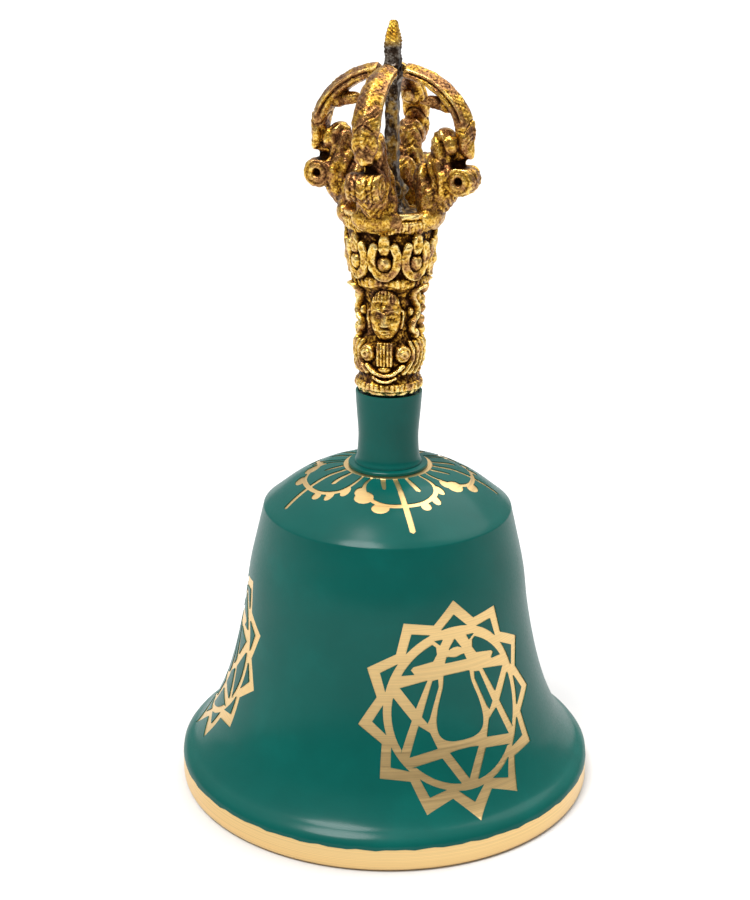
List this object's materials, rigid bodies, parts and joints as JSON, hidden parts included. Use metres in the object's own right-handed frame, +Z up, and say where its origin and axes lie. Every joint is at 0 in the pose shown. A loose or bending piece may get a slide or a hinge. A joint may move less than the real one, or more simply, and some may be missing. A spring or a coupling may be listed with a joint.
{
  "type": "hand bell",
  "caption": "Hand bell with a flared cup on a waisted neck, a cast handle ending in a cage of curved prongs, and a clapper that hangs free inside.",
  "frame": {"origin": "centre of the mouth, on the plane the bell stands on", "axes": "+Z up the bell's axis to the spike, -Y to the front"},
  "size_m": [0.0904, 0.0904, 0.1633],
  "materials": {
    "enamelled_brass": "satin green enamel over cast brass, ornament and mouth band cut through to bare brass",
    "gilt_brass": "antique gilt casting with dark patina in its hollows",
    "grey_metal": "grey brazed metal with traces of gilding",
    "zinc_steel": "zinc plated",
    "turned_brass": "lathe turned, bare"
  },
  "bodies": {
    "bell": {"bell_cup": "enamelled_brass", "neck_collar": "enamelled_brass", "handle_core": "gilt_brass", "prong_1": "gilt_brass", "prong_2": "gilt_brass", "prong_3": "gilt_brass", "prong_4": "gilt_brass", "centre_spike": "grey_metal", "handle_stud": "zinc_steel", "crown_washer": "zinc_steel", "crown_nut": "zinc_steel", "hanger_eye": "zinc_steel"},
    "link": {"link_ring": "zinc_steel"},
    "clapper": {"clapper_rod": "zinc_steel", "clapper_ball": "turned_brass"}
  },
  "joints": [
    {"name": "link_swing", "type": "hinge", "parent": "bell", "child": "link", "pos_m": [0, 0, 0.0504], "axis": [0, 1, 0], "range_deg": [-13, 13]},
    {"name": "clapper_swing", "type": "hinge", "parent": "link", "child": "clapper", "pos_m": [0, 0, 0.0439], "axis": [1, 0, 0], "range_deg": [-42, 42]}
  ]
}
